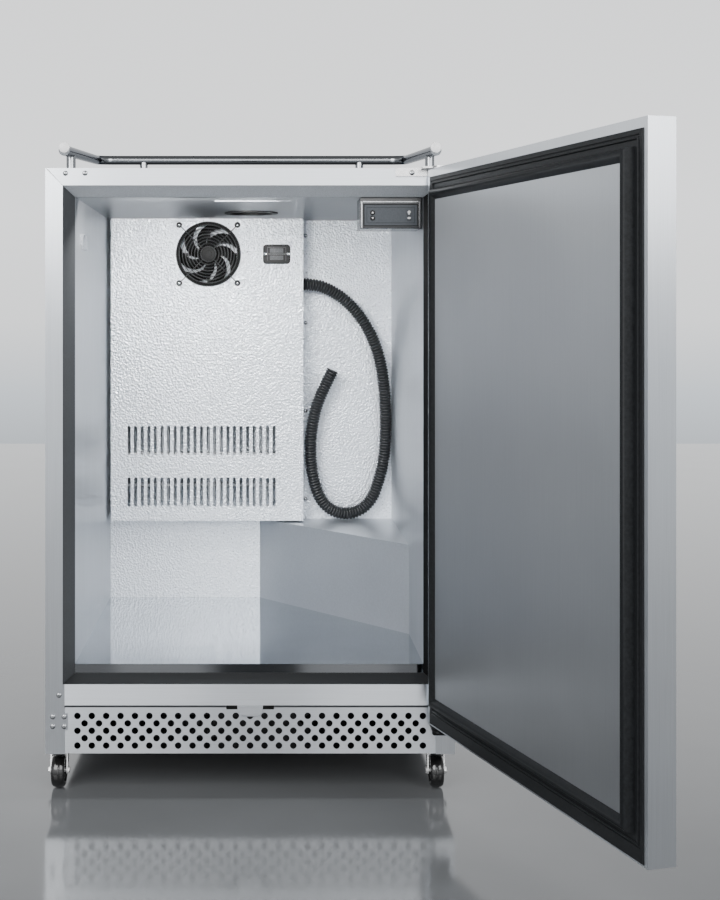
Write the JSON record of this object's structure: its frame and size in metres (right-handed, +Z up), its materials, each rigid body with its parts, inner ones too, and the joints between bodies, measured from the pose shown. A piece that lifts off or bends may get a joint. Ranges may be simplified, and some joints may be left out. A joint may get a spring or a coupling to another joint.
{
  "type": "undercounter refrigerator",
  "caption": "Freestanding undercounter refrigerator on casters with a hinged door, fan-cooled cavity, drain hose, tower bore and top guard rail.",
  "frame": {"origin": "middle of the footprint of the whole object with its door open, on the floor under the casters", "axes": "+Z up, +Y from the cabinet's front to its back, +X to the right as seen from the front"},
  "size_m": [0.7626, 1.165, 0.9883],
  "materials": {
    "outer_steel": "satin",
    "liner_sheet": "satin",
    "galvanised_sheet": "satin",
    "foam": "matte",
    "breaker_plastic": "satin",
    "black_plastic": "satin",
    "control_plastic": "satin",
    "bright_chrome": "polished",
    "gasket_rubber": "matte",
    "hose_plastic": "satin",
    "sleeve_plastic": "satin",
    "coil_metal": "satin",
    "machine_black": "satin",
    "zinc_steel": "satin",
    "bush_plastic": "satin",
    "wheel_rubber": "gloss"
  },
  "bodies": {
    "cabinet": {"side_panel_left": "outer_steel", "side_panel_right": "outer_steel", "top_panel": "outer_steel", "rear_panel": "galvanised_sheet", "base_pan": "galvanised_sheet", "sill_rail": "outer_steel", "kickplate": "outer_steel", "lock_tab": "outer_steel", "breaker_strips": "breaker_plastic", "cabinet_foam": "foam", "liner_wrap": "liner_sheet", "liner_ceiling": "liner_sheet", "floor_tray": "liner_sheet", "hump_cover": "liner_sheet", "evaporator_cover": "liner_sheet", "fan_guard": "bright_chrome", "fan_housing": "black_plastic", "evaporator_coil": "coil_metal", "sensor_bezel": "black_plastic", "control_box": "control_plastic", "control_panel": "control_plastic", "ceiling_plate": "liner_sheet", "tower_sleeve": "sleeve_plastic", "wall_clip": "black_plastic", "drain_hose": "hose_plastic", "hose_gland": "black_plastic", "cabinet_screws": "bright_chrome", "hinge_bracket_top": "zinc_steel", "hinge_bracket_bottom": "machine_black", "hinge_pins": "zinc_steel", "guard_rail": "bright_chrome", "rail_posts": "bright_chrome", "compressor": "machine_black", "condenser_coil": "coil_metal", "condenser_fan_motor": "machine_black", "power_inlet": "black_plastic", "caster_plates": "bright_chrome"},
    "door": {"door_skin": "outer_steel", "door_core": "foam", "door_inner_panel": "outer_steel", "door_gasket": "gasket_rubber", "door_bushes": "bush_plastic"},
    "evaporator_fan": {"fan_impeller": "black_plastic"},
    "condenser_fan": {"condenser_fan_blade": "black_plastic"},
    "up_button": {"up_button": "control_plastic"},
    "down_button": {"down_button": "control_plastic"},
    "light_button": {"light_button": "control_plastic"},
    "power_button": {"power_button": "control_plastic"},
    "fork_front_left": {"caster_fork_front_left": "bright_chrome", "caster_axle_front_left": "bright_chrome"},
    "wheel_front_left": {"caster_wheel_front_left": "wheel_rubber"},
    "fork_front_right": {"caster_fork_front_right": "bright_chrome", "caster_axle_front_right": "bright_chrome"},
    "wheel_front_right": {"caster_wheel_front_right": "wheel_rubber"},
    "fork_back_left": {"caster_fork_back_left": "bright_chrome", "caster_axle_back_left": "bright_chrome"},
    "wheel_back_left": {"caster_wheel_back_left": "wheel_rubber"},
    "fork_back_right": {"caster_fork_back_right": "bright_chrome", "caster_axle_back_right": "bright_chrome"},
    "wheel_back_right": {"caster_wheel_back_right": "wheel_rubber"}
  },
  "joints": [
    {"name": "door_swing", "type": "hinge", "parent": "cabinet", "child": "door", "pos_m": [0.19489, -0.03327, 0.5135], "axis": [0, 0, 1], "range_deg": [-106.7, 0]},
    {"name": "evaporator_fan_spin", "type": "hinge", "parent": "cabinet", "child": "evaporator_fan", "pos_m": [-0.15881, 0.49453, 0.816], "axis": [0, 1, 0], "continuous": true},
    {"name": "condenser_fan_spin", "type": "hinge", "parent": "cabinet", "child": "condenser_fan", "pos_m": [0.02919, 0.06753, 0.106], "axis": [0, 1, 0], "continuous": true},
    {"name": "up_press", "type": "slide", "parent": "cabinet", "child": "up_button", "axis": [0, 1, 0], "range_m": [0, 0.001], "stiffness_N_per_m": 300, "springref_m": -0.001},
    {"name": "down_press", "type": "slide", "parent": "cabinet", "child": "down_button", "axis": [0, 1, 0], "range_m": [0, 0.001], "stiffness_N_per_m": 300, "springref_m": -0.001},
    {"name": "light_press", "type": "slide", "parent": "cabinet", "child": "light_button", "axis": [0, 1, 0], "range_m": [0, 0.001], "stiffness_N_per_m": 300, "springref_m": -0.001},
    {"name": "power_press", "type": "slide", "parent": "cabinet", "child": "power_button", "axis": [0, 1, 0], "range_m": [0, 0.001], "stiffness_N_per_m": 300, "springref_m": -0.001},
    {"name": "swivel_front_left", "type": "hinge", "parent": "cabinet", "child": "fork_front_left", "pos_m": [-0.36631, 0.05253, 0.054], "axis": [0, 0, 1], "continuous": true},
    {"name": "roll_front_left", "type": "hinge", "parent": "fork_front_left", "child": "wheel_front_left", "pos_m": [-0.36631, 0.03753, 0.025], "axis": [1, 0, 0], "continuous": true},
    {"name": "swivel_front_right", "type": "hinge", "parent": "cabinet", "child": "fork_front_right", "pos_m": [0.19669, 0.05253, 0.054], "axis": [0, 0, 1], "continuous": true},
    {"name": "roll_front_right", "type": "hinge", "parent": "fork_front_right", "child": "wheel_front_right", "pos_m": [0.19669, 0.03753, 0.025], "axis": [1, 0, 0], "continuous": true},
    {"name": "swivel_back_left", "type": "hinge", "parent": "cabinet", "child": "fork_back_left", "pos_m": [-0.36631, 0.52253, 0.054], "axis": [0, 0, 1], "continuous": true},
    {"name": "roll_back_left", "type": "hinge", "parent": "fork_back_left", "child": "wheel_back_left", "pos_m": [-0.36631, 0.50753, 0.025], "axis": [1, 0, 0], "continuous": true},
    {"name": "swivel_back_right", "type": "hinge", "parent": "cabinet", "child": "fork_back_right", "pos_m": [0.19669, 0.52253, 0.054], "axis": [0, 0, 1], "continuous": true},
    {"name": "roll_back_right", "type": "hinge", "parent": "fork_back_right", "child": "wheel_back_right", "pos_m": [0.19669, 0.50753, 0.025], "axis": [1, 0, 0], "continuous": true}
  ]
}
